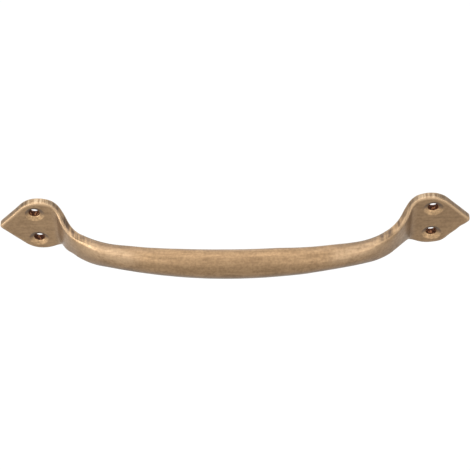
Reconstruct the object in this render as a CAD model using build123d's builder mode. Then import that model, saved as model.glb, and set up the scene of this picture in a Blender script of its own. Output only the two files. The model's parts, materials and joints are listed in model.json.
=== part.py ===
"""Cast drawer pull: two spade-shaped screw feet joined by a bowed grip, in one piece.

Millimetres. X runs along the pull, Z is up, and the backs of both feet lie on the drawer front at Y = 0.
The grip stands out towards -Y. The origin is midway between the feet, on the drawer front.
"""
from build123d import *
import os
from math import acos, asin, atan2, ceil, cos, degrees, pi, radians, sin

# Whole pull
overall_length = 190.0
projection = 30.5

# Screw holes, two in each foot
hole_to_tip = 15.0
hole_pitch_across = 14.5
screw_hole_diameter = 4.4
countersink_diameter = 7.6
countersink_angle = 130.0

# Spade foot
foot_width = 27.4
foot_thickness = 3.5
foot_flat_length = 20.7
tip_radius = 1.5
flank_angle = 47.2
lobe_outer_radius = 9.5
lobe_inner_radius = 11.3
flare_radius = 5.2

# Neck, a bent strap as thick as the foot
bend_inside_radius = 4.0
neck_angle = 60.6
neck_straight = 1.4
neck_width = 11.6
strap_past_flare = 0.5

# Bowed grip: it stays slim near the necks, more so with a larger swell delay, and is fullest at the middle.
# Its front is crowned within the crown run, a share of the way from a neck to the middle.
shoulder_radius = 32.0
grip_width = 12.0
grip_depth = 10.6
grip_corner_radius = 4.4
swell_delay = 0.75
crown_run = 0.33
section_spacing = 5.0
crown_arc_angle = 12.0
corner_arc_angle = 30.0

# Filed edges, and the least flat that rounded corners leave between them
front_edge_radius = 0.9
back_bevel_length = 0.5
corner_flat = 0.4

# The edges take no more than their half of the strap's thickness
edge_room = foot_thickness / 2 - corner_flat
front_edge = min(front_edge_radius, edge_room)
back_bevel = min(back_bevel_length, edge_room)

# Spade outline: a blunt tip, a straight flank, the lobe, and an S into the neck
flank_tilt = radians(flank_angle)
flank_rise = foot_width / 2 - tip_radius * cos(flank_tilt) - lobe_outer_radius * (1 - cos(flank_tilt))
flank_length = flank_rise / sin(flank_tilt)
flank_end_x = overall_length / 2 - tip_radius * (1 - sin(flank_tilt)) - flank_length * cos(flank_tilt)
lobe_x = flank_end_x - lobe_outer_radius * sin(flank_tilt)
flare_turn = acos(1 - (foot_width - neck_width) / 2 / (lobe_inner_radius + flare_radius))
flare_end_x = lobe_x - (lobe_inner_radius + flare_radius) * sin(flare_turn)

# Strap, from the foot to the end of the straight neck
bend_radius = bend_inside_radius + foot_thickness / 2
neck_tilt = radians(neck_angle)
bend_start_x = overall_length / 2 - foot_flat_length
neck_end_x = bend_start_x - bend_radius * sin(neck_tilt) - neck_straight * cos(neck_tilt)
neck_end_height = foot_thickness / 2 + bend_radius * (1 - cos(neck_tilt)) + neck_straight * sin(neck_tilt)

# The shoulder arc runs into a flatter grip arc, which is level at the middle of the pull
grip_reach = neck_end_x - shoulder_radius * sin(neck_tilt)
grip_climb = projection - grip_depth / 2 - neck_end_height - shoulder_radius * (1 - cos(neck_tilt))
grip_tilt = 2 * atan2(grip_climb, grip_reach)
grip_radius = shoulder_radius + grip_reach / sin(grip_tilt)

# The strap runs on a little past the end of the flare, and at least a little way into the shoulder arc
shortest_strap_turn = radians(3.0)
strap_end_reach = (flare_end_x - strap_past_flare - grip_reach) / (shoulder_radius + foot_thickness / 2)
strap_end_tilt = min(asin(min(strap_end_reach, 1.0)), neck_tilt - shortest_strap_turn)

# Middle lines: one foot with its neck, and the grip from neck to neck
with BuildLine() as strap_line:
    foot = Line((overall_length / 2, -foot_thickness / 2), (bend_start_x, -foot_thickness / 2))
    bend = JernArc(foot @ 1, foot % 1, bend_radius, neck_angle)
    neck = Line(bend @ 1, bend @ 1 + (bend % 1) * neck_straight)
    shoulder = JernArc(neck @ 1, neck % 1, shoulder_radius, degrees(strap_end_tilt - neck_tilt))

with BuildLine() as grip_line:
    near_side = JernArc(shoulder @ 1, shoulder % 1, shoulder_radius, degrees(grip_tilt - strap_end_tilt))
    bow = JernArc(near_side @ 1, near_side % 1, grip_radius, -2 * degrees(grip_tilt))
    far_side = JernArc(bow @ 1, bow % 1, shoulder_radius, degrees(grip_tilt - strap_end_tilt))


def swell(share):
    """Smooth rise from 0 to 1."""
    return (1 - cos(pi * min(share, 1.0))) / 2


def straight_pieces(start, end, piece_count):
    """Straight line, in equal pieces."""
    whole = Line(start, end)
    marks = [whole @ (piece / piece_count) for piece in range(piece_count + 1)]
    return [Line(*ends) for ends in zip(marks, marks[1:])]


def arc_pieces(start, heading, radius, turn, piece_count):
    """Circular arc, in equal pieces."""
    pieces = []
    for _ in range(piece_count):
        pieces.append(JernArc(start, heading, radius, turn / piece_count))
        start, heading = pieces[-1] @ 1, pieces[-1] % 1
    return pieces


def grip_section(plane, nearness):
    """Bar section between the neck strap (nearness 0) and the middle of the grip (nearness 1)."""
    growth = swell(nearness**swell_delay)
    width = neck_width + (grip_width - neck_width) * growth
    depth = foot_thickness + (grip_depth - foot_thickness) * growth

    # The corners round off more slowly, and never so far as to use up a side
    rounding = swell(nearness)
    fullest_round = min(width, depth) / 2 - corner_flat
    front_round = min(front_edge + (grip_corner_radius - front_edge) * rounding, fullest_round)
    back_round = min(back_bevel + (grip_corner_radius - back_bevel) * rounding, fullest_round)

    # The crown takes up the depth that the corners leave, and meets the front corners at its own tilt
    half_front = width / 2 - front_round
    crown = swell(nearness / crown_run) * (depth - front_round - back_round - corner_flat)
    crown_tilt = 2 * atan2(crown, half_front)
    crown_count = ceil(90 / crown_arc_angle)
    corner_count = ceil(90 / corner_arc_angle)
    corner_turn = 90 - degrees(crown_tilt)
    side_end = Vector(width / 2, depth / 2 - back_round)
    back_end = Vector(width / 2 - back_round, depth / 2)
    other_back_end = Vector(-back_end.X, back_end.Y)
    other_side_end = Vector(-side_end.X, side_end.Y)
    if nearness > 0:
        crown_radius = half_front / sin(crown_tilt) + front_round
        crown_start = (-crown_radius * sin(crown_tilt), crown_radius * (1 - cos(crown_tilt)) - depth / 2)
        heading = (cos(crown_tilt), -sin(crown_tilt))
        rim = arc_pieces(crown_start, heading, crown_radius, 2 * degrees(crown_tilt), crown_count)
        back_corner = arc_pieces(side_end, (0, 1), back_round, 90, corner_count)
        other_back_corner = arc_pieces(other_back_end, (-1, 0), back_round, 90, corner_count)
    else:
        rim = straight_pieces((-half_front, -depth / 2), (half_front, -depth / 2), crown_count)
        back_corner = straight_pieces(side_end, back_end, corner_count)
        other_back_corner = straight_pieces(other_back_end, other_side_end, corner_count)
    rim += arc_pieces(rim[-1] @ 1, rim[-1] % 1, front_round, corner_turn, corner_count)
    rim += [Line(rim[-1] @ 1, side_end)] + back_corner
    rim += [Line(back_end, other_back_end)] + other_back_corner
    rim.append(Line(other_side_end, (-width / 2, front_round + crown - depth / 2)))
    rim += arc_pieces(rim[-1] @ 1, rim[-1] % 1, front_round, corner_turn, corner_count)
    return plane * Face(Wire(rim))


# Sections of the grip, evenly spaced from one neck to the other
grip_wire = grip_line.wire()
half_count = ceil(grip_wire.length / 2 / section_spacing)
grip_sections = []
for step in range(2 * half_count + 1):
    distance = grip_wire.length * step / (2 * half_count)
    nearness_to_middle = 1 - abs(step / half_count - 1)
    section_plane = Plane(
        grip_wire.position_at(distance, PositionMode.LENGTH),
        x_dir=(0, 0, 1),
        z_dir=grip_wire.tangent_at(distance, PositionMode.LENGTH),
    )
    grip_sections.append(grip_section(section_plane, nearness_to_middle))

with BuildPart() as pull:
    # Side view of one foot and its neck
    with BuildSketch(Plane.XY):
        trace(strap_line.edges(), line_width=foot_thickness)
    extrude(amount=foot_width / 2, both=True)

    # Front view of the same foot, with Z upwards
    with BuildSketch(Plane.XZ):
        with BuildLine():
            tip = JernArc((overall_length / 2, 0), (0, 1), tip_radius, 90 - flank_angle)
            flank = Line(tip @ 1, tip @ 1 + (tip % 1) * flank_length)
            lobe_outer = JernArc(flank @ 1, flank % 1, lobe_outer_radius, flank_angle)
            lobe_inner = JernArc(lobe_outer @ 1, lobe_outer % 1, lobe_inner_radius, degrees(flare_turn))
            flare = JernArc(lobe_inner @ 1, lobe_inner % 1, flare_radius, -degrees(flare_turn))
            Line(flare @ 1, (0, neck_width / 2))
            Line((0, neck_width / 2), (0, 0))
            mirror(about=Plane.XZ)
        make_face()
    extrude(amount=projection, both=True, mode=Mode.INTERSECT)

    # Filed edges, where the walls of the spade outline meet the front, and bevels where they meet the back
    strap_end = faces().sort_by(Axis.X)[:1]
    walls = faces().filter_by(lambda face: abs(face.normal_at().Y) < 0.01)
    fronts = faces().filter_by(lambda face: face.normal_at().Y < -0.01) - strap_end
    fillet(walls.edges() & fronts.edges(), front_edge)
    walls = faces().filter_by(lambda face: abs(face.normal_at().Y) < 0.01)
    backs = faces().filter_by(lambda face: face.normal_at().Y > 0.01)
    chamfer(walls.edges() & backs.edges(), back_bevel)

    # Countersunk screw holes, then the other foot
    with Locations(Plane((overall_length / 2 - hole_to_tip, -foot_thickness, 0), (1, 0, 0), (0, -1, 0))):
        with GridLocations(0, hole_pitch_across, 1, 2):
            CounterSinkHole(
                screw_hole_diameter / 2,
                countersink_diameter / 2,
                counter_sink_angle=countersink_angle,
            )
    mirror(about=Plane.YZ)

    # Bowed grip, swelling from the necks to the middle
    loft(grip_sections)

pull.part.label = "drawer_pull"
os.makedirs("parts", exist_ok=True)
export_step(pull.part, "parts/drawer_pull.step")
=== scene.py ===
"""Looks of the cast drawer pull: hand-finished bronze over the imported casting, and a white studio round it."""
import json
from functools import reduce
from math import cos, pi, radians, sin, tan
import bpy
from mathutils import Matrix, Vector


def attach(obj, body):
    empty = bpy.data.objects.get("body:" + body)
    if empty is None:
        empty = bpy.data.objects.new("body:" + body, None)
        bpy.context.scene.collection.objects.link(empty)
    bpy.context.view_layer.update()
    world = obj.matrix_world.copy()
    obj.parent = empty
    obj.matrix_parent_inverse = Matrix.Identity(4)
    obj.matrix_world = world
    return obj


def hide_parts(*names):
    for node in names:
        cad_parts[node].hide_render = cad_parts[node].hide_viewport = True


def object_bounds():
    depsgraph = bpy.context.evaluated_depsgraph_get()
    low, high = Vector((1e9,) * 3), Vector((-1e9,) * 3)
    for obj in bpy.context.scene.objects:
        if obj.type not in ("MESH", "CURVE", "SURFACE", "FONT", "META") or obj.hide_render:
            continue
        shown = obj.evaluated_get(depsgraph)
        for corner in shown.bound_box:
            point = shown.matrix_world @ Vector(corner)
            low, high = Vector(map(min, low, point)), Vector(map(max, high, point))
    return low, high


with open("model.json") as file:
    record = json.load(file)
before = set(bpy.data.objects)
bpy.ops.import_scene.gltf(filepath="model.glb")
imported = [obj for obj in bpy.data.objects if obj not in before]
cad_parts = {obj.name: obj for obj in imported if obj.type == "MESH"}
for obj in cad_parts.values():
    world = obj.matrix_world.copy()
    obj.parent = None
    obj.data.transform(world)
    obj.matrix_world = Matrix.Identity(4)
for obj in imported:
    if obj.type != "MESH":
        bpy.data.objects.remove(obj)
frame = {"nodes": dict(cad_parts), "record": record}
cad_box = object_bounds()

from types import SimpleNamespace

import bmesh
import bpy
from bpy.props import FloatProperty, FloatVectorProperty, IntProperty, PointerProperty
from mathutils import Matrix, Vector

bl_info = {
    "name": "Cast Drawer Pull",
    "version": (1, 0, 0),
    "blender": (4, 5, 0),
    "location": "3D View > Sidebar > Drawer Pull",
    "description": "Dresses the casting of a drawer pull in hand-filed, worn bronze and sets a white studio",
    "category": "Object",
}

CASTING = "drawer_pull"
MILLIMETRE = 0.001
MERGE_GAP = 1e-6
FEWEST_FACES = 10000
screw_holes = next(m for m in frame["record"]["mounts"] if m["name"] == "screw_holes")["dims"]

# Inputs of the hand finish: name, kind, and the surface setting that fills it
FINISH_INPUTS = (
    ("Casting", "Object", None),
    ("Softening", "Int", "softening"),
    ("Corner Wear", "Int", "wear"),
    ("Foot Softness", "Float", "foot_softness"),
    ("Foot Reach", "Float", "foot_reach"),
    ("Unevenness", "Float", "dents"),
    ("Unevenness Size", "Float", "dent_size"),
    ("Fullness", "Float", "fullness"),
    ("File Mark Depth", "Float", "file_depth"),
    ("File Mark Pitch", "Float", "file_pitch"),
    ("Hole Along", "Float", None),
    ("Hole Across", "Float", None),
    ("Hole Clearance", "Float", "hole_clearance"),
    ("Hole Radius", "Float", None),
    ("Bore Taper", "Float", "bore_taper"),
    ("Countersink Radius", "Float", "dish_radius"),
    ("Countersink Depth", "Float", "dish_depth"),
    ("Foot Thickness", "Float", "foot_thickness"),
    ("Grid", "Float", "grid"),
    ("Seed", "Int", "seed"),
    ("Material", "Material", None),
)

# Stretches of the pull, in metres past the foot reach: each comes in between its first two distances, and goes
# out again between its last two if it has four
STRETCHES = {
    "foot": (-0.004, 0.004),
    "crisp": (0.001, 0.010),
    "filed": (-0.018, -0.004),
    "worn corner": (-0.024, -0.012, -0.001, 0.010),
    # painted highlight on the upper front of the grip ends
    "grip_end_highlight": (-0.022, -0.012, -0.002, 0.010),
    # painted shade on the back of the grip's top
    "dark top": (-0.034, -0.006, 0.002, 0.010),
    "neck": (-0.004, 0.005, 0.013, 0.020),
    "bend": (0.009, 0.013, 0.016, 0.020),
    "lobe": (0.013, 0.020, 0.026, 0.031),
    "past neck": (0.013, 0.020),
    "flank": (0.026, 0.031),
}

# Places where the hand-made pull strays from true: middle, reach and shift, in metres
QUIRKS = (
    ((-0.0655, -0.0100, 0.0), 0.0110, (0.0, -0.0006, -0.0004)),
    ((-0.0670, -0.0085, -0.0050), 0.0060, (0.0, -0.0005, -0.0007)),
    ((-0.0480, -0.0195, 0.0050), 0.0160, (0.0, 0.0002, 0.0005)),
    ((-0.0570, -0.0150, 0.0055), 0.0110, (0.0, 0.0001, 0.0004)),
    ((0.0280, -0.0245, 0.0050), 0.0130, (0.0, -0.0002, -0.0005)),
    ((0.0380, -0.0225, 0.0050), 0.0120, (0.0, 0.0, -0.0003)),
    ((0.0905, -0.0018, -0.0032), 0.0036, (-0.0003, 0.0, 0.0005)),
    ((0.0840, -0.0018, -0.0110), 0.0048, (0.0002, 0.0, -0.0005)),
    ((0.0800, -0.0010, 0.00725), 0.0080, (-0.0003, 0.0, 0.0005)),
    ((0.0800, 0.0, -0.00725), 0.0080, (-0.0004, 0.0, 0.0006)),
    ((-0.0800, -0.0005, 0.00725), 0.0080, (-0.0005, 0.0, 0.0004)),
    ((-0.0800, -0.0005, -0.00725), 0.0080, (0.0003, 0.0, 0.0002)),
)

# Levels between which a value comes in: heights in metres, parts of a normal, and levels of a pattern
RISES = {
    "upright": (0.55, 0.80),
    "worn front": (0.35, 0.05),
    "worn height": (-0.0035, 0.0005),
    # Where the painted highlight on the upper front of the grip ends comes in
    "highlight front": (-0.20, -0.50),
    "highlight height": (-0.001, 0.003),
    # Where the painted shade comes in: underneath, on the back of the grip's top, and low on the necks
    "underneath": (0.15, -0.55),
    "dark top back": (-0.45, -0.08),
    "dark top up": (0.1, 0.4),
    "low neck": (0.0025, -0.0040),
    # Where the painted highlight low in the countersinks comes in
    "low in dish": (0.35, -0.55),
    "rubbed": (0.00005, 0.00020),
    "patches": (0.30, 0.70),
    "specks": (0.32, 0.68),
    "lines": (0.30, 0.70),
    "streaks": (0.34, 0.62),
    "glints": (0.52, 0.70),
    "pits": (0.30, 0.45),
}

# Round the holes, as shares: of the grid within which a point moves onto a rim, of a bore's radius that counts as
# inside it, of the clearance at which the softening begins, and of a dish's radius at which its colour ends
SNAP_REACH = 0.6
BORE_SLACK = 1.04
CLEARANCE_START = 0.85
DISH_END = 1.06

# Shape of the file marks along and across the pull, detail of the hollows and of the marks, and rounds of
# smoothing that tell what stands proud
FILE_STROKE = (1.0, 0.12, 0.12)
HOLLOW_DETAIL, STROKE_DETAIL = 2.0, 1.0
PROUD_ROUNDS = 14

# Strength of the painted shade low on the necks, of the darkening all over the right-hand neck, of the painted
# shade on the walls of the flanks, of the darkening on those of the right-hand foot, and of the painted shade on
# those of the bends
LOW_NECK_SHADE = 0.50
RIGHT_NECK_DARKENING = 0.15
FLANK_SHADE = 0.35
RIGHT_WALL_DARKENING = 0.40
BEND_SHADE = 0.6

# Patterns in the bronze: stretching, scale, detail and roughness of the noise
PATTERNS = {
    "patches": ((1.0, 1.0, 1.0), 210.0, 2.0, 0.50),
    "specks": ((1.0, 1.0, 1.0), 1000.0, 2.0, 0.60),
    "grain": ((0.11, 1.0, 1.0), 1000.0, 2.0, 0.60),
    "streaks": ((1.0, 0.06, 0.06), 1100.0, 2.0, 0.55),
    "glints": ((1.0, 1.0, 1.0), 1300.0, 1.0, 0.50),
    "scratches": ((1.0, 0.05, 0.05), 1600.0, 2.0, 0.60),
    "pits": ((1.0, 1.0, 1.0), 1500.0, 1.0, 0.50),
}

# Shares of the patterns in the dullness of the metal, and how far it is evened out on the grip and the feet
PATCH_SHARE, SPECK_SHARE, GRAIN_SHARE = 0.24, 0.42, 0.34
EVEN_GRIP, MORE_EVEN_FEET = 0.16, 0.14
# Painted light: how much brighter the metal is made on the necks and on the left-hand foot
BRIGHTER_NECK, BRIGHTER_LEFT_FOOT = 0.10, 0.16

# How far the other marks take over the colour of the metal
PLAIN_STREAK = 0.30
FILED_COVER = 0.85
NECK_RIDGE = 0.85
# Painted shade, with darkening on the right-hand side
SHADE_AND_DARKENING_COVER = 0.6
# Painted shade in the countersinks
DISH_SHADE_COVER = 0.6
RUBBED_COVER = 0.70
RUBBED_LESS_IN_DISH = 0.5
# Less rubbed metal where the shade is painted
RUBBED_LESS_IN_SHADE = 0.8
# Painted highlight on the upper front of the grip ends
PAINTED_HIGHLIGHT_COVER = 0.85
PAINTED_HIGHLIGHT_LESS_IN_DULL = 0.75
# Painted highlight low in the countersinks
DISH_HIGHLIGHT_BRIGHT, DISH_HIGHLIGHT_DARK = 1.7, 1.05
DISH_HIGHLIGHT_COVER = 0.9

# Gloss and fine relief of the metal
METALLIC = 0.8
GRAIN_ROUGHNESS, DULL_ROUGHNESS, RUBBED_ROUGHNESS, BORE_ROUGHNESS = 0.25, 0.10, 0.10, 0.75
GRAIN_RELIEF, SCRATCH_RELIEF, PIT_RELIEF = 0.5, 1.2, 0.25
RELIEF_STRENGTH, RELIEF_DEPTH = 0.5, 0.00008

# Softboxes round the pull: name, bearing, height, spans and brightness above the white surround
SOFTBOXES = (
    ("low_right", 45.0, 10.0, (50.0, 26.0), 1.5),
    ("low_left", 300.0, 10.0, (35.0, 26.0), 4.8),
    ("low_back", 180.0, 10.0, (35.0, 26.0), 1.0),
    ("mid_right", 36.0, 38.0, (36.0, 28.0), 1.7),
    ("mid_left", 318.0, 38.0, (36.0, 28.0), 2.4),
    ("mid_back", 200.0, 38.0, (60.0, 28.0), 1.2),
    ("high_right", 60.0, 66.0, (40.0, 28.0), 0.9),
    ("high_far_right", 120.0, 66.0, (40.0, 28.0), 1.7),
    ("high_back", 180.0, 66.0, (40.0, 28.0), 0.9),
    ("high_far_left", 240.0, 66.0, (40.0, 28.0), 2.2),
    ("high_left", 300.0, 66.0, (40.0, 28.0), 0.9),
)

# Stage: white of the floor where it is seen, light of the surround on matt things, half the floor's side, and the
# camera's film width in millimetres and nearest distance
FLOOR_WHITE = 0.8
SURROUND_FILL = 0.4
FLOOR_REACH = 3.0
SENSOR_WIDTH = 36.0
CLIP_START = 0.01


class PullSurface(bpy.types.PropertyGroup):
    """Sizes of the hand-finished surface."""

    grid: FloatProperty(
        name="Surface Grid",
        description="Spacing of the points that carry the hand-finished surface",
        default=0.000325,
        unit="LENGTH",
        precision=5,
    )
    softening: IntProperty(
        name="Softening",
        description="Rounds of smoothing that take the sharpness off arrises and flats",
        default=13,
    )
    wear: IntProperty(
        name="Corner Wear",
        description="Rounds of further smoothing on the upper front corners where the grip meets its necks",
        default=100,
    )
    foot_softness: FloatProperty(
        name="Foot Softness",
        description="Share of the smoothing that reaches the feet and necks",
        default=0.07,
        subtype="FACTOR",
    )
    foot_reach: FloatProperty(
        name="Foot Reach",
        description="Distance from the middle at which the filed necks and feet begin",
        default=0.056,
        unit="LENGTH",
    )
    dents: FloatProperty(
        name="Unevenness",
        description="Deepest hollow left by hand filing",
        default=0.00012,
        unit="LENGTH",
        precision=5,
    )
    dent_size: FloatProperty(
        name="Unevenness Size",
        description="Usual width of those hollows",
        default=0.009,
        unit="LENGTH",
    )
    fullness: FloatProperty(
        name="Fullness",
        description="Thickness that makes up on the grip for what the softening takes away",
        default=0.00010,
        unit="LENGTH",
        precision=5,
    )
    file_depth: FloatProperty(
        name="File Mark Depth",
        description="Depth of the file marks across the side walls",
        default=0.00005,
        unit="LENGTH",
        precision=5,
    )
    file_pitch: FloatProperty(
        name="File Mark Pitch",
        description="Usual spacing of the file marks",
        default=0.0013,
        unit="LENGTH",
        precision=4,
    )
    hole_clearance: FloatProperty(
        name="Hole Clearance",
        description="Distance from a screw hole's middle within which its drilled shape is kept",
        default=0.0050,
        unit="LENGTH",
        precision=4,
    )
    bore_taper: FloatProperty(
        name="Bore Taper",
        description="How much narrower in radius the screw holes are at the back, where drilling left a burr",
        default=0.00030,
        unit="LENGTH",
        precision=5,
    )
    dish_radius: FloatProperty(
        name="Countersink Radius",
        description="Radius of the countersinks at the face of the feet",
        default=0.0038,
        unit="LENGTH",
        precision=4,
    )
    dish_depth: FloatProperty(
        name="Countersink Depth",
        description="Depth of the countersinks below the face of the feet",
        default=0.000746,
        unit="LENGTH",
        precision=5,
    )
    foot_thickness: FloatProperty(
        name="Foot Thickness",
        description="Thickness of the feet at the screw holes",
        default=0.0035,
        unit="LENGTH",
        precision=4,
    )
    seed: IntProperty(name="Seed", description="Pattern of the hollows and marks", default=7)


class BronzeFinish(bpy.types.PropertyGroup):
    """Colours and gloss of the bronze."""

    patina: FloatVectorProperty(
        name="Patina",
        description="Colour of the browner, duller patches",
        default=(0.172, 0.104, 0.053),
        size=3,
        subtype="COLOR",
        min=0.0,
        max=1.0,
    )
    rubbed: FloatVectorProperty(
        name="Rubbed Edge",
        description="Colour of the bare metal on rubbed edges",
        default=(0.470, 0.325, 0.196),
        size=3,
        subtype="COLOR",
        min=0.0,
        max=1.0,
    )
    gilt: FloatVectorProperty(
        name="Bright Specks",
        description="Colour of the brighter, more golden specks",
        default=(0.345, 0.222, 0.117),
        size=3,
        subtype="COLOR",
        min=0.0,
        max=1.0,
    )
    # Also the colour of the painted shade in the countersinks
    filed_hollow_and_dish_shade: FloatVectorProperty(
        name="Filed Hollows",
        description="Colour of the tarnished hollows between file marks on the necks",
        default=(0.062, 0.038, 0.026),
        size=3,
        subtype="COLOR",
        min=0.0,
        max=1.0,
    )
    # Painted shade: grey laid underneath, behind the grip's top, low on the necks, on the flank walls and in the
    # bends, and darkening on the right-hand neck and walls
    shade_and_darkening: FloatVectorProperty(
        name="Tarnish",
        description="Colour of the grey tarnish underneath and behind, where no hand rubs",
        default=(0.092, 0.071, 0.057),
        size=3,
        subtype="COLOR",
        min=0.0,
        max=1.0,
    )
    filed_light: FloatVectorProperty(
        name="Filed Ridges",
        description="Colour of the bright file marks on the lobes",
        default=(0.430, 0.325, 0.212),
        size=3,
        subtype="COLOR",
        min=0.0,
        max=1.0,
    )
    # Painted shade: the dark colour laid inside the screw holes
    bore: FloatVectorProperty(
        name="Bores",
        description="Colour of the unpolished insides of the screw holes",
        default=(0.070, 0.022, 0.009),
        size=3,
        subtype="COLOR",
        min=0.0,
        max=1.0,
    )
    # Painted glints in the screw holes
    painted_bore_glint: FloatVectorProperty(
        name="Bore Glints",
        description="Colour of the coppery glints in the screw holes",
        default=(0.420, 0.190, 0.090),
        size=3,
        subtype="COLOR",
        min=0.0,
        max=1.0,
    )
    roughness: FloatProperty(
        name="Roughness",
        description="Roughness of the satin metal",
        default=0.33,
        subtype="FACTOR",
        min=0.0,
        max=1.0,
    )


class PullStage(bpy.types.PropertyGroup):
    """Camera, light and floor."""

    elevation: FloatProperty(
        name="Elevation", description="Height of the view", default=radians(49.0), subtype="ANGLE"
    )
    turn: FloatProperty(
        name="Turn", description="Turn of the pull on the drawer front", default=radians(-1.77), subtype="ANGLE"
    )
    roll: FloatProperty(
        name="Roll", description="Roll of the view", default=radians(2.16), subtype="ANGLE"
    )
    distance: FloatProperty(
        name="Distance", description="Camera to the middle of the pull", default=0.70938, unit="LENGTH"
    )
    aside: FloatProperty(
        name="Aside",
        description="How far the pull sits right of the view's middle",
        default=-0.00023,
        unit="LENGTH",
    )
    above: FloatProperty(
        name="Above", description="How far the pull sits above the view's middle", default=0.00718, unit="LENGTH"
    )
    lens: FloatProperty(name="Lens", description="Focal length in millimetres", default=134.00, unit="CAMERA")
    floor_drop: FloatProperty(
        name="Floor Drop", description="Depth of the floor below the pull", default=0.30, unit="LENGTH"
    )
    floor_colour: FloatVectorProperty(
        name="Floor",
        description="Pale floor",
        default=(0.9, 0.9, 0.9),
        size=3,
        subtype="COLOR",
        min=0.0,
        max=1.0,
    )
    lamp_reach: FloatProperty(
        name="Lamp Reach", description="Distance of the softboxes from the pull", default=1.5, unit="LENGTH"
    )
    lamp_level: FloatProperty(
        name="Lamp Level", description="Level of all the softboxes together", default=1.0, subtype="FACTOR"
    )


class NodeBench:
    """Short ways to add nodes to one tree. They take sockets or plain values, and give back sockets."""

    def __init__(self, tree):
        self.tree = tree

    def add(self, kind, **settings):
        """A new node, with some of its settings."""
        node = self.tree.nodes.new(kind)
        for name, value in settings.items():
            setattr(node, name, value)
        return node

    def feed(self, socket, value):
        """Link a socket to an input, or set the input to a plain value."""
        if isinstance(value, bpy.types.NodeSocket):
            self.tree.links.new(value, socket)
        else:
            socket.default_value = value

    def fill(self, node, *values):
        """Feed a node's inputs in order. The node is given back."""
        for socket, value in zip(node.inputs, values):
            self.feed(socket, value)
        return node

    def math(self, operation, *values):
        """Result of a Math node."""
        return self.fill(self.add("ShaderNodeMath", operation=operation), *values).outputs[0]

    def plus(self, *values):
        """Sum of the values."""
        return reduce(lambda total, value: self.math("ADD", total, value), values)

    def minus(self, first, second):
        """First value less the second."""
        return self.math("SUBTRACT", first, second)

    def times(self, *values):
        """Product of the values."""
        return reduce(lambda product, value: self.math("MULTIPLY", product, value), values)

    def most(self, *values):
        """Largest of the values."""
        return reduce(lambda largest, value: self.math("MAXIMUM", largest, value), values)

    def span(self, first, second):
        """Straight length across two sides that stand square."""
        return self.math("SQRT", self.plus(self.math("POWER", first, 2.0), self.math("POWER", second, 2.0)))

    def ramp(self, value, low, high):
        """Smooth step from 0 at one level of a value to 1 at another."""
        node = self.add("ShaderNodeMapRange", interpolation_type="SMOOTHSTEP")
        return self.fill(node, value, low, high).outputs["Result"]

    def rise(self, value, name):
        """Smooth step of a value between its named levels."""
        return self.ramp(value, *RISES[name])

    def vector(self, operation, *values):
        """Vector result of a Vector Math node."""
        return self.fill(self.add("ShaderNodeVectorMath", operation=operation), *values).outputs["Vector"]

    def measure(self, operation, *values):
        """Number that a Vector Math node gives."""
        return self.fill(self.add("ShaderNodeVectorMath", operation=operation), *values).outputs["Value"]

    def scaled(self, vector, factor):
        """A vector times a number."""
        node = self.fill(self.add("ShaderNodeVectorMath", operation="SCALE"), vector)
        self.feed(node.inputs["Scale"], factor)
        return node.outputs["Vector"]

    def split(self, vector):
        """The three parts of a vector."""
        return self.fill(self.add("ShaderNodeSeparateXYZ"), vector).outputs[:]

    def joined(self, *parts):
        """A vector of three parts."""
        return self.fill(self.add("ShaderNodeCombineXYZ"), *parts).outputs[0]

    def mixed(self, factor, first, second):
        """Blend of two numbers."""
        node = self.add("ShaderNodeMix")
        for place, value in ((0, factor), (2, first), (3, second)):
            self.feed(node.inputs[place], value)
        return node.outputs[0]

    def tinted(self, factor, first, second):
        """Blend of two colours."""
        node = self.add("ShaderNodeMix", data_type="RGBA")
        self.feed(node.inputs[0], factor)
        for place, value in ((6, first), (7, second)):
            self.feed(node.inputs[place], value if isinstance(value, bpy.types.NodeSocket) else (*value, 1.0))
        return node.outputs[2]

    def noise(self, place, scale, detail, rough=0.5, seed=None):
        """Level of a Noise Texture."""
        node = self.add("ShaderNodeTexNoise", noise_dimensions="3D" if seed is None else "4D")
        for name, value in (("Vector", place), ("Scale", scale), ("Detail", detail), ("Roughness", rough)):
            self.feed(node.inputs[name], value)
        if seed is not None:
            self.feed(node.inputs["W"], seed)
        return node.outputs[0]

    def moved(self, geometry, **changes):
        """Geometry whose points are moved."""
        node = self.fill(self.add("GeometryNodeSetPosition"), geometry)
        for name, value in changes.items():
            self.feed(node.inputs[name.title()], value)
        return node.outputs[0]

    def blurred(self, place, rounds, weight=1.0):
        """Place of each point evened out with its neighbours'."""
        node = self.add("GeometryNodeBlurAttribute", data_type="FLOAT_VECTOR")
        self.feed(next(s for s in node.inputs if s.enabled and s.name == "Value"), place)
        self.feed(node.inputs["Iterations"], rounds)
        self.feed(node.inputs["Weight"], weight)
        return next(s for s in node.outputs if s.enabled)

    def stored(self, geometry, name, value):
        """Geometry that keeps a value on its points."""
        node = self.add("GeometryNodeStoreNamedAttribute", data_type="FLOAT", domain="POINT")
        self.feed(node.inputs["Geometry"], geometry)
        self.feed(node.inputs["Name"], name)
        self.feed(next(s for s in node.inputs if s.enabled and s.name == "Value"), value)
        return node.outputs[0]


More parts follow.
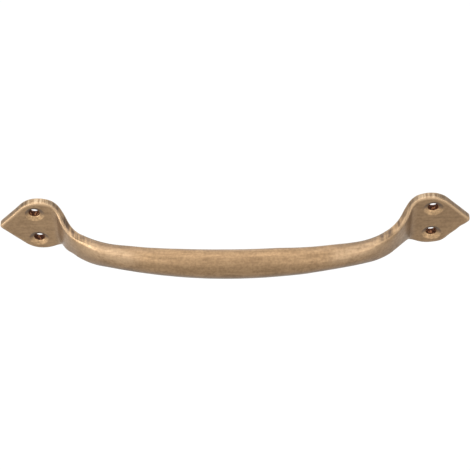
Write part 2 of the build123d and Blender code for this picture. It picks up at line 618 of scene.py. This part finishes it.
def point_places(bench, given):
    """Where each point of the skin lies and faces, which stretch it is on, and how it lies to its screw hole."""
    at = SimpleNamespace()
    at.place = bench.add("GeometryNodeInputPosition").outputs[0]
    at.x, at.y, at.z = bench.split(at.place)
    at.normal = bench.add("GeometryNodeInputNormal").outputs[0]
    at.facing_y, at.facing_z = bench.split(at.normal)[1:]

    # Stretches along the pull
    along = bench.math("ABSOLUTE", at.x)
    at.on = {}
    for name, distances in STRETCHES.items():
        marks = [bench.plus(given["Foot Reach"], distance) for distance in distances]
        at.on[name] = bench.ramp(along, *marks[:2])
        if marks[2:]:
            at.on[name] = bench.minus(at.on[name], bench.ramp(along, *marks[2:]))

    # Distance from the middle of the hole, and the way out from there
    hole_x = bench.minus(along, given["Hole Along"])
    hole_z = bench.minus(bench.math("ABSOLUTE", at.z), given["Hole Across"])
    at.from_hole = bench.span(hole_x, hole_z)
    at.aim_x = bench.math("DIVIDE", bench.times(hole_x, bench.math("SIGN", at.x)), at.from_hole)
    at.aim_z = bench.math("DIVIDE", bench.times(hole_z, bench.math("SIGN", at.z)), at.from_hole)
    at.face_y = bench.times(given["Foot Thickness"], -1.0)
    at.throat_y = bench.plus(at.face_y, given["Countersink Depth"])
    at.inside = bench.math("LESS_THAN", at.from_hole, bench.times(given["Hole Radius"], BORE_SLACK))
    clearance = given["Hole Clearance"]
    at.clear_of_holes = bench.ramp(at.from_hole, bench.times(clearance, CLEARANCE_START), clearance)

    # Side walls near the feet
    upright = bench.rise(bench.math("ABSOLUTE", at.facing_z), "upright")
    at.wall = bench.times(upright, at.on["filed"], at.clear_of_holes)
    return at


def laid_skin(bench, given):
    """The skin, laid on the casting."""
    casting = bench.fill(bench.add("GeometryNodeObjectInfo"), given["Casting"]).outputs["Geometry"]
    nearest = bench.fill(bench.add("GeometryNodeProximity", target_element="FACES"), casting)
    return bench.moved(given["Geometry"], position=nearest.outputs["Position"])


def drilled_skin(bench, given, at, skin):
    """The skin with crisp holes: the points nearest to a rim lie on it, and bores narrow towards the back."""
    for rim_radius, rim_y in (
        (given["Hole Radius"], 0.0),
        (given["Hole Radius"], at.throat_y),
        (given["Countersink Radius"], at.face_y),
    ):
        out = bench.minus(rim_radius, at.from_hole)
        down = bench.minus(rim_y, at.y)
        near = bench.math("LESS_THAN", bench.span(out, down), bench.times(given["Grid"], SNAP_REACH))
        shift = bench.joined(bench.times(at.aim_x, out), down, bench.times(at.aim_z, out))
        skin = bench.moved(skin, selection=near, offset=shift)
    narrowing = bench.times(bench.ramp(at.y, at.throat_y, 0.0), at.inside, given["Bore Taper"], -1.0)
    burr = bench.joined(bench.times(at.aim_x, narrowing), 0.0, bench.times(at.aim_z, narrowing))
    return bench.moved(skin, offset=burr)


def filed_skin(bench, given, at, skin):
    """The skin after softening, wear, hollows from filing, and file marks across the side walls."""
    foot_share = bench.times(given["Foot Softness"], at.clear_of_holes)
    share = bench.mixed(at.on["crisp"], 1.0, foot_share)
    skin = bench.moved(skin, position=bench.blurred(at.place, given["Softening"], share))

    # The upper front corners are worn rounder still where the grip meets its necks
    in_front = bench.times(bench.rise(at.facing_y, "worn front"), bench.rise(at.z, "worn height"))
    corner = bench.times(at.on["worn corner"], in_front)
    skin = bench.moved(skin, position=bench.blurred(at.place, given["Corner Wear"], corner))

    # Hollows, with the fullness that the softening took away, and file marks
    hollow_scale = bench.math("DIVIDE", 1.0, given["Unevenness Size"])
    hollow = bench.noise(at.place, hollow_scale, HOLLOW_DETAIL, seed=given["Seed"])
    stroke_place = bench.vector("MULTIPLY", at.place, FILE_STROKE)
    stroke_scale = bench.math("DIVIDE", 1.0, given["File Mark Pitch"])
    stroke = bench.noise(stroke_place, stroke_scale, STROKE_DETAIL, seed=given["Seed"])
    dent = bench.times(bench.minus(hollow, 0.5), given["Unevenness"])
    dent = bench.times(bench.minus(dent, bench.times(given["Fullness"], share)), at.clear_of_holes)
    mark = bench.times(stroke, given["File Mark Depth"], at.wall)
    depth = bench.times(bench.plus(dent, mark), -1.0)
    return bench.moved(skin, offset=bench.scaled(at.normal, depth))


def shade_and_darkening_level(bench, at):
    """Painted shade underneath, behind the grip's top, low on the necks, on the flank walls and in the bends, and
    darkening of the right-hand neck and of the walls at the right-hand foot.
    """
    right = bench.math("GREATER_THAN", at.x, 0.0)
    underneath = bench.rise(at.facing_z, "underneath")
    behind = bench.times(bench.rise(at.facing_y, "dark top back"), bench.rise(at.facing_z, "dark top up"))
    behind = bench.times(behind, at.on["dark top"])
    low_neck = bench.times(bench.rise(at.z, "low neck"), LOW_NECK_SHADE)
    low_neck = bench.times(at.on["neck"], bench.most(low_neck, bench.times(right, RIGHT_NECK_DARKENING)))
    far_wall = bench.plus(bench.times(at.on["flank"], FLANK_SHADE), bench.times(right, RIGHT_WALL_DARKENING))
    far_wall = bench.times(far_wall, at.wall, at.on["past neck"])
    bend_wall = bench.times(at.on["bend"], at.wall, BEND_SHADE)
    return bench.most(underneath, behind, low_neck, far_wall, bend_wall)


def point_marks(bench, given, at):
    """Values that the bronze reads from each point: how it was filed and rubbed, and where painted highlights and
    painted shade go.
    """
    stands_out = bench.vector("SUBTRACT", at.place, bench.blurred(at.place, PROUD_ROUNDS))
    dish = given["Countersink Radius"]
    in_dish = bench.ramp(at.from_hole, bench.times(dish, DISH_END), dish)
    below = bench.times(at.aim_z, bench.math("DIVIDE", at.from_hole, dish))
    past_throat = bench.ramp(at.y, at.throat_y, bench.plus(at.throat_y, given["Grid"]))
    # Painted highlight on the upper front of the grip ends
    grip_end_highlight = bench.times(at.on["grip_end_highlight"], bench.rise(at.z, "highlight height"))
    return {
        "proud": bench.measure("DOT_PRODUCT", stands_out, at.normal),
        "wall": at.wall,
        "on_foot": at.on["foot"],
        "on_neck": at.on["neck"],
        # Painted shade, with darkening on the right-hand side
        "darkened": shade_and_darkening_level(bench, at),
        "grip_end_highlight": bench.times(grip_end_highlight, bench.rise(at.facing_y, "highlight front")),
        "on_lobe": at.on["lobe"],
        "in_dish": in_dish,
        # Painted highlight low in the countersinks
        "dish_highlight_mask": bench.times(bench.rise(below, "low in dish"), in_dish),
        "in_bore": bench.times(at.inside, past_throat),
    }


def hand_finish_tree():
    """Nodes that lay a dense skin on the casting, soften it, and file it by hand."""
    tree = bpy.data.node_groups.new("Hand Finish", "GeometryNodeTree")
    tree.is_modifier = True
    tree.interface.new_socket("Geometry", in_out="INPUT", socket_type="NodeSocketGeometry")
    for name, kind, _ in FINISH_INPUTS:
        tree.interface.new_socket(name, in_out="INPUT", socket_type="NodeSocket" + kind)
    tree.interface.new_socket("Geometry", in_out="OUTPUT", socket_type="NodeSocketGeometry")
    bench = NodeBench(tree)
    given = bench.add("NodeGroupInput").outputs
    at = point_places(bench, given)
    skin = laid_skin(bench, given)
    skin = drilled_skin(bench, given, at, skin)
    skin = filed_skin(bench, given, at, skin)
    for name, value in point_marks(bench, given, at).items():
        skin = bench.stored(skin, name, value)

    # The casting strays a little from true, and stays inside its box
    for middle, spread, shift in QUIRKS:
        gap = bench.measure("DISTANCE", at.place, middle)
        skin = bench.moved(skin, offset=bench.scaled(shift, bench.ramp(gap, spread, 0.0)))
    held = bench.vector("MAXIMUM", at.place, tuple(cad_box[0]))
    skin = bench.moved(skin, position=bench.vector("MINIMUM", held, tuple(cad_box[1])))

    skin = bench.fill(bench.add("GeometryNodeSetShadeSmooth"), skin).outputs[0]
    skin = bench.fill(bench.add("GeometryNodeRealizeInstances"), skin).outputs[0]
    coated = bench.fill(bench.add("GeometryNodeSetMaterial"), skin)
    bench.feed(coated.inputs["Material"], given["Material"])
    bench.fill(bench.add("NodeGroupOutput"), coated.outputs[0])
    return tree


def surface_value(bench, name):
    """A value stored on the piece's points."""
    return bench.add("ShaderNodeAttribute", attribute_name=name).outputs["Fac"]


def pattern(bench, place, name):
    """One of the patterns in the bronze."""
    stretching, scale, detail, rough = PATTERNS[name]
    return bench.noise(bench.vector("MULTIPLY", place, stretching), scale, detail, rough)


def worn_bronze(finish):
    """Satin bronze: patchy patina, a lengthwise grain, file marks on the side walls, rubbed edges, and painted
    shade and highlights.
    """
    material = bpy.data.materials.new("worn_bronze")
    material.use_nodes = True
    bench = NodeBench(material.node_tree)
    shader = material.node_tree.nodes["Principled BSDF"]
    shader.inputs["Metallic"].default_value = METALLIC
    place = bench.add("ShaderNodeTexCoord").outputs["Object"]
    gilt, patina, filed_hollow_and_dish_shade = tuple(finish.gilt), tuple(finish.patina), tuple(finish.filed_hollow_and_dish_shade)
    wall, on_foot = surface_value(bench, "wall"), surface_value(bench, "on_foot")
    darkened = surface_value(bench, "darkened")
    in_dish, in_bore = surface_value(bench, "in_dish"), surface_value(bench, "in_bore")

    # Dull and golden metal, in patches, specks and lengthwise lines
    patches = bench.rise(pattern(bench, place, "patches"), "patches")
    specks = bench.rise(pattern(bench, place, "specks"), "specks")
    grain = pattern(bench, place, "grain")
    lines = bench.rise(grain, "lines")
    dull = bench.plus(
        bench.times(patches, PATCH_SHARE),
        bench.times(specks, SPECK_SHARE),
        bench.times(lines, GRAIN_SHARE),
    )
    evenness = bench.plus(bench.times(on_foot, MORE_EVEN_FEET), EVEN_GRIP)
    dull = bench.plus(dull, bench.times(bench.minus(0.5, dull), evenness))
    # Painted light: the necks and the left-hand foot made brighter
    dull = bench.minus(dull, bench.times(surface_value(bench, "on_neck"), BRIGHTER_NECK))
    left_foot = bench.times(on_foot, bench.math("LESS_THAN", bench.split(place)[0], 0.0))
    dull = bench.most(bench.minus(dull, bench.times(left_foot, BRIGHTER_LEFT_FOOT)), 0.0)
    metal = bench.tinted(dull, gilt, patina)

    # Streaks on the filed walls, then painted shade with darkening on the right-hand side, then painted shade in
    # the countersinks
    streaks = bench.rise(pattern(bench, place, "streaks"), "streaks")
    streaks = bench.plus(bench.times(bench.minus(streaks, PLAIN_STREAK), on_foot), PLAIN_STREAK)
    on_lobe = surface_value(bench, "on_lobe")
    hollows = bench.tinted(on_lobe, filed_hollow_and_dish_shade, patina)
    ridges = bench.tinted(on_lobe, tuple(NECK_RIDGE * level for level in gilt), tuple(finish.filed_light))
    metal = bench.tinted(bench.times(wall, FILED_COVER), metal, bench.tinted(streaks, hollows, ridges))
    metal = bench.tinted(bench.times(darkened, SHADE_AND_DARKENING_COVER), metal, tuple(finish.shade_and_darkening))
    # Painted shade in the countersinks
    metal = bench.tinted(bench.times(in_dish, DISH_SHADE_COVER), metal, filed_hollow_and_dish_shade)

    # Bare metal on rubbed edges, less in the countersinks and under the painted shade, and a painted highlight in
    # the same colour on the upper front of the grip ends
    rubbed = bench.rise(surface_value(bench, "proud"), "rubbed")
    bare = bench.times(rubbed, bench.minus(RUBBED_COVER, bench.times(in_dish, RUBBED_LESS_IN_DISH)))
    bare = bench.times(bare, bench.minus(1.0, bench.times(darkened, RUBBED_LESS_IN_SHADE)))
    painted_highlight = bench.minus(1.0, bench.times(dull, PAINTED_HIGHLIGHT_LESS_IN_DULL))
    painted_highlight = bench.times(painted_highlight, bench.times(surface_value(bench, "grip_end_highlight"), PAINTED_HIGHLIGHT_COVER))
    colour = bench.tinted(bench.most(bare, painted_highlight), metal, tuple(finish.rubbed))

    # Painted highlight low in the countersinks, and in the bores painted shade with painted coppery glints
    dish_highlight_colour = bench.tinted(specks, *(tuple(share * level for level in gilt) for share in (DISH_HIGHLIGHT_BRIGHT, DISH_HIGHLIGHT_DARK)))
    colour = bench.tinted(bench.times(surface_value(bench, "dish_highlight_mask"), DISH_HIGHLIGHT_COVER), colour, dish_highlight_colour)
    # Painted shade in the bores, with painted coppery glints
    glints = bench.rise(pattern(bench, place, "glints"), "glints")
    bore = bench.tinted(glints, tuple(finish.bore), tuple(finish.painted_bore_glint))
    bench.feed(shader.inputs["Base Color"], bench.tinted(in_bore, colour, bore))

    # Gloss: the grain and the specks break it up, rubbed edges scatter more
    rough = bench.plus(
        bench.times(bench.minus(grain, 0.5), GRAIN_ROUGHNESS),
        finish.roughness,
        bench.times(dull, DULL_ROUGHNESS),
        bench.times(rubbed, RUBBED_ROUGHNESS),
    )
    bench.feed(shader.inputs["Roughness"], bench.most(rough, bench.times(in_bore, BORE_ROUGHNESS)))

    # Relief too fine for the mesh: grain along the grip, file scratches on the walls, casting pits
    scratches = bench.times(pattern(bench, place, "scratches"), wall)
    pits = bench.rise(pattern(bench, place, "pits"), "pits")
    relief = bench.plus(
        bench.times(grain, GRAIN_RELIEF),
        bench.times(scratches, SCRATCH_RELIEF),
        bench.times(pits, PIT_RELIEF),
    )
    bump = bench.add("ShaderNodeBump")
    for name, value in (("Strength", RELIEF_STRENGTH), ("Distance", RELIEF_DEPTH), ("Height", relief)):
        bench.feed(bump.inputs[name], value)
    bench.feed(shader.inputs["Normal"], bump.outputs[0])
    return material


def set_input(modifier, tree, name, value):
    """Set a modifier's named input by its socket's identifier."""
    socket = next(s for s in tree.interface.items_tree if s.name == name and s.in_out == "INPUT")
    modifier[socket.identifier] = value


class PULL_OT_cast_body(bpy.types.Operator):
    """Lay the hand-finished bronze skin on the casting of the pull"""

    bl_idname = "drawer_pull.cast_body"
    bl_label = "Make the Bronze Pull"

    def execute(self, context):
        surface = context.scene.pull_surface
        casting = frame["nodes"][CASTING]
        shell = bmesh.new()
        shell.from_mesh(casting.data)
        bmesh.ops.remove_doubles(shell, verts=shell.verts, dist=MERGE_GAP)
        mesh = bpy.data.meshes.new("bronze_pull")
        shell.to_mesh(mesh)
        shell.free()
        mesh.materials.clear()
        pull = bpy.data.objects.new("bronze_pull", mesh)
        context.scene.collection.objects.link(pull)
        skin = pull.modifiers.new("Skin", "REMESH")
        skin.mode = "VOXEL"
        skin.voxel_size = surface.grid
        tree = hand_finish_tree()
        finish = pull.modifiers.new("Hand Finish", "NODES")
        finish.node_group = tree
        values = {name: getattr(surface, setting) for name, _, setting in FINISH_INPUTS if setting}
        values["Casting"] = casting
        values["Hole Along"] = screw_holes["spacing_x_mm"] / 2 * MILLIMETRE
        values["Hole Across"] = screw_holes["spacing_y_mm"] / 2 * MILLIMETRE
        values["Hole Radius"] = screw_holes["hole_r_mm"] * MILLIMETRE
        values["Material"] = worn_bronze(context.scene.bronze_finish)
        for name, value in values.items():
            set_input(finish, tree, name, value)
        evaluated = pull.evaluated_get(context.evaluated_depsgraph_get())
        made = bpy.data.meshes.new_from_object(evaluated)
        pull.modifiers.clear()
        pull.data = made
        if len(made.polygons) < FEWEST_FACES:
            raise RuntimeError("The skin came out too coarse")
        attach(pull, "root")
        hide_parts(CASTING)
        return {"FINISHED"}


def white_to_the_eye(bench):
    """1 for rays from the camera, from gloss and through clear things, else 0."""
    path = bench.add("ShaderNodeLightPath").outputs
    return bench.most(path["Is Camera Ray"], path["Is Glossy Ray"], path["Is Transmission Ray"])


def pale_floor(colour):
    """Matt pale floor that takes shadows and reads as white."""
    material = bpy.data.materials.new("pale_floor")
    material.use_nodes = True
    bench = NodeBench(material.node_tree)
    material.node_tree.nodes.clear()
    matt = bench.fill(bench.add("ShaderNodeBsdfDiffuse"), (*colour, 1.0)).outputs[0]
    white = bench.fill(bench.add("ShaderNodeEmission"), (1.0, 1.0, 1.0, 1.0), 1.0).outputs[0]
    whiteness = bench.times(white_to_the_eye(bench), FLOOR_WHITE)
    blend = bench.fill(bench.add("ShaderNodeMixShader"), whiteness, matt, white)
    bench.fill(bench.add("ShaderNodeOutputMaterial"), blend.outputs[0])
    return material


def white_world(world):
    """White wherever it is seen, and a weak fill for everything else."""
    world.use_nodes = True
    bench = NodeBench(world.node_tree)
    strength = bench.plus(bench.times(white_to_the_eye(bench), 1.0 - SURROUND_FILL), SURROUND_FILL)
    bench.fill(world.node_tree.nodes["Background"], (1.0, 1.0, 1.0, 1.0), strength)


def softbox(name, bearing, height, span, brightness, stage):
    """A rectangular soft lamp aimed at the pull. Bearing, height and spans are in degrees, from straight ahead."""
    turn, rise = radians(bearing), radians(height)
    aim = Vector((cos(rise) * sin(turn), -cos(rise) * cos(turn), sin(rise)))
    light = bpy.data.lights.new(name, "AREA")
    light.shape = "RECTANGLE"
    light.size, light.size_y = (2 * stage.lamp_reach * tan(radians(angle) / 2) for angle in span)
    light.energy = stage.lamp_level * brightness * pi * light.size * light.size_y
    item = bpy.data.objects.new(name, light)
    item.location = aim * stage.lamp_reach
    item.rotation_euler = aim.to_track_quat("Z", "Y").to_euler()
    item.visible_camera = False
    bpy.context.scene.collection.objects.link(item)


def view_matrix(stage):
    """Camera matrix for a pull that hangs on an upright drawer front."""
    low, high = cos(stage.elevation), sin(stage.elevation)
    axes = Matrix(((1, 0, 0), (0, high, low), (0, -low, high)))
    axes = Matrix.Rotation(stage.roll, 3, "Z") @ axes @ Matrix.Rotation(stage.turn, 3, "Z")
    right, up, back = axes
    place = back * stage.distance - right * stage.aside - up * stage.above
    matrix = axes.transposed().to_4x4()
    matrix.translation = place
    return matrix


class PULL_OT_stage(bpy.types.Operator):
    """Set the floor, the white surround, the lamps and the camera"""

    bl_idname = "drawer_pull.stage"
    bl_label = "Set the Stage"

    def execute(self, context):
        scene, stage = context.scene, context.scene.pull_stage
        corners = [(-1, -1), (1, -1), (1, 1), (-1, 1)]
        mesh = bpy.data.meshes.new("floor")
        floor_points = [(x * FLOOR_REACH, y * FLOOR_REACH, -stage.floor_drop) for x, y in corners]
        mesh.from_pydata(floor_points, [], [(0, 1, 2, 3)])
        mesh.materials.append(pale_floor(tuple(stage.floor_colour)))
        floor = bpy.data.objects.new("floor", mesh)
        scene.collection.objects.link(floor)
        scene.world = scene.world or bpy.data.worlds.new("studio")
        white_world(scene.world)
        for name, bearing, height, span, brightness in SOFTBOXES:
            softbox(name, bearing, height, span, brightness, stage)
        camera = bpy.data.objects.new("camera", bpy.data.cameras.new("camera"))
        camera.data.sensor_width = SENSOR_WIDTH
        camera.data.lens = stage.lens
        camera.data.clip_start = CLIP_START
        camera.matrix_world = view_matrix(stage)
        scene.collection.objects.link(camera)
        scene.camera = camera
        scene.view_settings.view_transform = "Standard"
        return {"FINISHED"}


class PULL_PT_panel(bpy.types.Panel):
    """Drawer pull in the sidebar"""

    bl_idname = "PULL_PT_panel"
    bl_label = "Drawer Pull"
    bl_space_type = "VIEW_3D"
    bl_region_type = "UI"
    bl_category = "Drawer Pull"

    def draw(self, context):
        for group, operator in (
            (context.scene.pull_surface, None),
            (context.scene.bronze_finish, PULL_OT_cast_body.bl_idname),
            (context.scene.pull_stage, PULL_OT_stage.bl_idname),
        ):
            box = self.layout.box()
            for name in group.bl_rna.properties.keys():
                if name not in ("rna_type", "name"):
                    box.prop(group, name)
            if operator:
                self.layout.operator(operator)


CLASSES = (PullSurface, BronzeFinish, PullStage, PULL_OT_cast_body, PULL_OT_stage, PULL_PT_panel)
GROUPS = {"pull_surface": PullSurface, "bronze_finish": BronzeFinish, "pull_stage": PullStage}


def register():
    """Register the classes and hang the settings on the scene."""
    for cls in CLASSES:
        bpy.utils.register_class(cls)
    for name, group in GROUPS.items():
        setattr(bpy.types.Scene, name, PointerProperty(type=group))


def unregister():
    """Take the settings and the classes away again."""
    for name in GROUPS:
        delattr(bpy.types.Scene, name)
    for cls in reversed(CLASSES):
        bpy.utils.unregister_class(cls)


def main():
    """Make the pull and its stage."""
    register()
    bpy.ops.drawer_pull.cast_body()
    bpy.ops.drawer_pull.stage()


if __name__ == "__main__":
    main()
